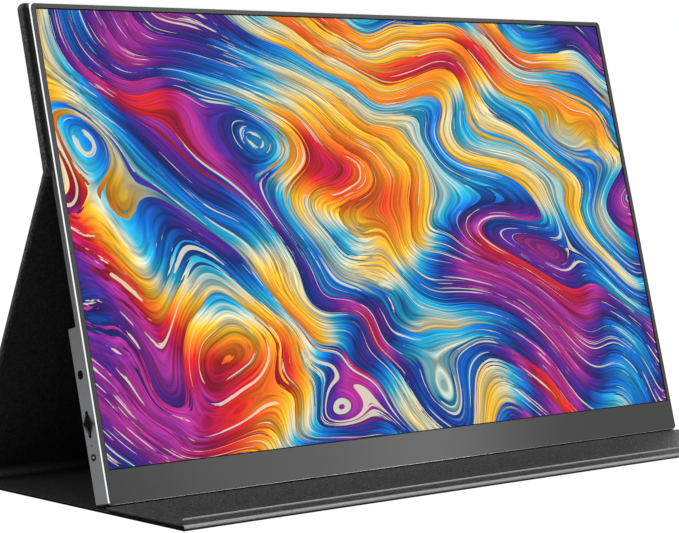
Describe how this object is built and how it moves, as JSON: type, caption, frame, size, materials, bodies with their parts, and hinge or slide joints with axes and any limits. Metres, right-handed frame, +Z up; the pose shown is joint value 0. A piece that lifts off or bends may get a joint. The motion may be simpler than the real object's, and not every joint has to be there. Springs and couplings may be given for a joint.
{
  "type": "portable monitor with folding cover",
  "caption": "Slim flat-panel monitor with side sockets and controls, standing in a leatherette cover that folds from its back into a prop, a base and a front flap.",
  "frame": {"origin": "middle of the base's underside, which lies on the table, halfway between the front fold and the rear fold", "axes": "+X to the user's right along the width, +Y to the back, +Z up; the screen faces -Y and leans back 15.2 degrees"},
  "size_m": [0.3655, 0.1579, 0.2127],
  "materials": {
    "anodised_metal": "bead-blasted grey anodising with a polished chamfer round the front",
    "frame_black": "satin black moulded frame",
    "screen": "antiglare polariser over a lit picture",
    "film_white": "translucent white optical film",
    "sheet_steel": "tinned or stamped sheet steel",
    "socket_steel": "drawn nickel-plated shell",
    "circuit_board": "green solder mask",
    "flat_cable": "amber flexible circuit",
    "inner_black": "black moulded plastic",
    "light_pipe": "clear moulded light pipe",
    "control_black": "black moulded lever",
    "button_metal": "dark anodised cap with a turned face",
    "cover_lining": "fine black microfibre lining",
    "cover_board": "grey pressed fibre board",
    "leatherette": "black pebble-grained leatherette",
    "magnet": "nickel-plated magnet or steel bar"
  },
  "bodies": {
    "base": {"base_skin": "leatherette", "base_board": "cover_board", "base_lining": "cover_lining"},
    "flap": {"flap_skin": "leatherette", "flap_board": "cover_board", "flap_lining": "cover_lining", "flap_ridge": "leatherette", "flap_magnets": "magnet"},
    "lower_panel": {"lower_skin": "leatherette", "lower_board": "cover_board", "spine_board": "cover_board", "lower_lining": "cover_lining"},
    "lever_carrier": {"lever_carrier": "sheet_steel"},
    "control_lever": {"control_lever": "control_black"},
    "power_button": {"power_button": "button_metal"},
    "monitor": {"rear_housing": "anodised_metal", "front_frame": "frame_black", "chin_support": "inner_black", "lcd_cell": "screen", "diffuser_film": "film_white", "prism_film": "film_white", "light_guide": "film_white", "reflector_sheet": "film_white", "light_bar": "film_white", "panel_tray": "sheet_steel", "driver_board": "circuit_board", "main_board": "circuit_board", "control_board": "circuit_board", "board_chips": "inner_black", "shield_can": "sheet_steel", "screen_flex": "flat_cable", "control_flex": "flat_cable", "lower_usb_socket": "socket_steel", "upper_usb_socket": "socket_steel", "mini_video_socket": "socket_steel", "headphone_socket": "inner_black", "lever_switch": "inner_black", "power_switch": "inner_black", "light_pipe": "light_pipe", "left_speaker": "inner_black", "right_speaker": "inner_black", "board_screws": "sheet_steel", "upper_lining": "cover_lining", "upper_board": "cover_board", "upper_skin": "leatherette", "upper_magnets": "magnet"}
  },
  "joints": [
    {"name": "rear_fold", "type": "hinge", "parent": "base", "child": "lower_panel", "pos_m": [0, 0.07779, 0.001], "axis": [-1, 0, 0], "range_deg": [0, 113]},
    {"name": "crease", "type": "hinge", "parent": "lower_panel", "child": "monitor", "pos_m": [0, 0.01786, 0.14025], "axis": [1, 0, 0], "range_deg": [0, 34.4]},
    {"name": "flap_fold", "type": "hinge", "parent": "base", "child": "flap", "pos_m": [0, -0.07779, 0.00134], "axis": [1, 0, 0], "range_deg": [0, 180]},
    {"name": "lever_press", "type": "slide", "parent": "monitor", "child": "lever_carrier", "axis": [1, 0, 0], "range_m": [0, 0.0004], "stiffness_N_per_m": 1500},
    {"name": "lever_rock", "type": "hinge", "parent": "lever_carrier", "child": "control_lever", "pos_m": [-0.17585, -0.01098, 0.03565], "axis": [0, 0.965, -0.2622], "range_deg": [-10, 10], "stiffness_Nm_per_rad": 0.01},
    {"name": "power_press", "type": "slide", "parent": "monitor", "child": "power_button", "axis": [1, 0, 0], "range_m": [0, 0.0003], "stiffness_N_per_m": 1500}
  ],
  "couplings": [
    {"joint": "crease", "follows": "rear_fold", "ratio": 0.3044}
  ]
}
